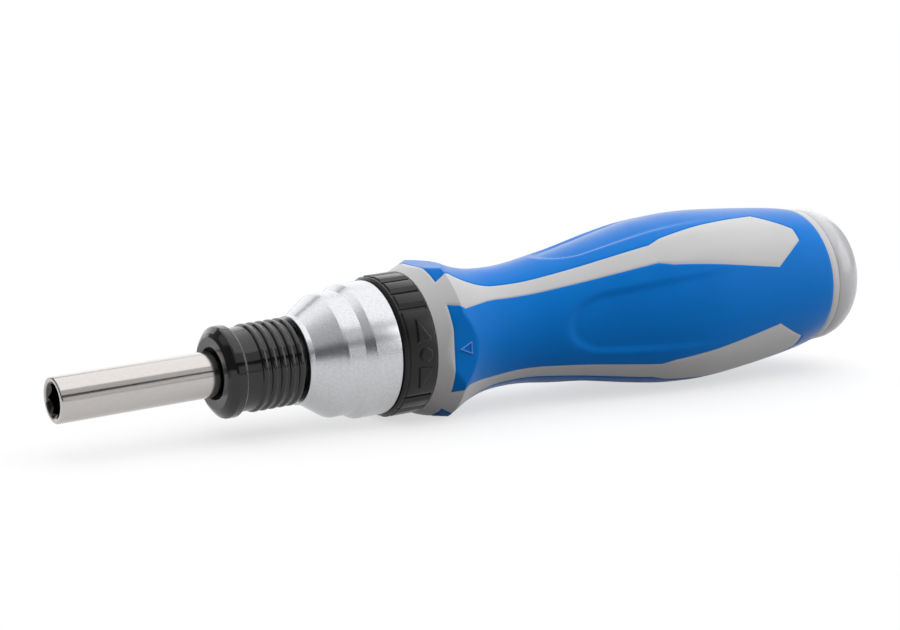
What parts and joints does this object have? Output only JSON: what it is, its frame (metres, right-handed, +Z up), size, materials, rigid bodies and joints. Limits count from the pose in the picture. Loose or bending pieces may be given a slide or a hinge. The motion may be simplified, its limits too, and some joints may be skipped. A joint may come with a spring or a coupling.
{
  "type": "ratcheting screwdriver",
  "caption": "Ratcheting screwdriver with a magnetic bit holder in a pull-forward chuck, turned nose, three-way selector ring, soft four-sided grip and push-in end cap.",
  "frame": {"origin": "centre of the bit socket's mouth, on the tool's axis", "axes": "+X along the tool from the bit mouth to the end cap, -Y out of the facing grip panel with the pointer, +Z up as the tool lies"},
  "size_m": [0.2067, 0.0396, 0.0396],
  "materials": {
    "polished_steel": "polished",
    "tool_steel": "ground",
    "magnet": "plated",
    "black_collar": "black satin",
    "spring_steel": "drawn",
    "ball_steel": "polished",
    "bearing_bronze": "sintered",
    "turned_aluminium": "fine turned satin",
    "black_plastic": "satin",
    "housing_metal": "cast",
    "grey_plastic": "satin",
    "blue_grip": "soft matt",
    "pale_plastic": "semi gloss",
    "seal_rubber": "matt"
  },
  "bodies": {
    "handle": {"handle_core": "grey_plastic", "soft_grip": "blue_grip", "ratchet_housing": "housing_metal", "nose": "turned_aluminium", "front_bush": "bearing_bronze", "thrust_washer": "bearing_bronze", "detent_leaf": "spring_steel"},
    "drive": {"spindle": "tool_steel", "ratchet_gear": "tool_steel", "bit_shank": "tool_steel", "bit_sleeve": "polished_steel", "bit_magnet": "magnet", "collar_snap_ring": "spring_steel"},
    "collar": {"release_collar": "black_collar", "collar_spring": "spring_steel"},
    "ball_near": {"lock_ball_near": "ball_steel"},
    "ball_far": {"lock_ball_far": "ball_steel"},
    "selector": {"selector_ring": "black_plastic"},
    "pawl_a": {"pawl_upper": "tool_steel", "pawl_spring_upper": "spring_steel"},
    "pawl_b": {"pawl_lower": "tool_steel", "pawl_spring_lower": "spring_steel"},
    "cap": {"end_cap": "pale_plastic", "cap_seal": "seal_rubber"}
  },
  "joints": [
    {"name": "drive_spin", "type": "hinge", "parent": "handle", "child": "drive", "pos_m": [0, 0, 0], "axis": [1, 0, 0], "continuous": true},
    {"name": "collar_pull", "type": "slide", "parent": "drive", "child": "collar", "axis": [-1, 0, 0], "range_m": [0, 0.003], "stiffness_N_per_m": 900, "springref_m": -0.004, "deforming": ["collar_spring"]},
    {"name": "ball_near_lift", "type": "slide", "parent": "drive", "child": "ball_near", "axis": [0, -1, 0], "range_m": [0, 0.00107]},
    {"name": "ball_far_lift", "type": "slide", "parent": "drive", "child": "ball_far", "axis": [0, 1, 0], "range_m": [0, 0.00107]},
    {"name": "selector_turn", "type": "hinge", "parent": "handle", "child": "selector", "pos_m": [0, 0, 0], "axis": [1, 0, 0], "range_deg": [-19, 19], "deforming": ["detent_leaf", "pawl_spring_upper", "pawl_spring_lower"]},
    {"name": "pawl_a_slide", "type": "slide", "parent": "handle", "child": "pawl_a", "axis": [0, 0, 1], "range_m": [-0.00055, 0.00055]},
    {"name": "pawl_b_slide", "type": "slide", "parent": "handle", "child": "pawl_b", "axis": [0, 0, -1], "range_m": [-0.00055, 0.00055]},
    {"name": "cap_pull", "type": "slide", "parent": "handle", "child": "cap", "axis": [1, 0, 0], "range_m": [0, 0.012]}
  ],
  "couplings": [
    {"joint": "ball_near_lift", "follows": "collar_pull", "ratio": 0.3566},
    {"joint": "ball_far_lift", "follows": "collar_pull", "ratio": 0.3566},
    {"joint": "pawl_a_slide", "follows": "selector_turn", "m_per_rad": -0.0016585},
    {"joint": "pawl_b_slide", "follows": "selector_turn", "m_per_rad": 0.0016585}
  ]
}
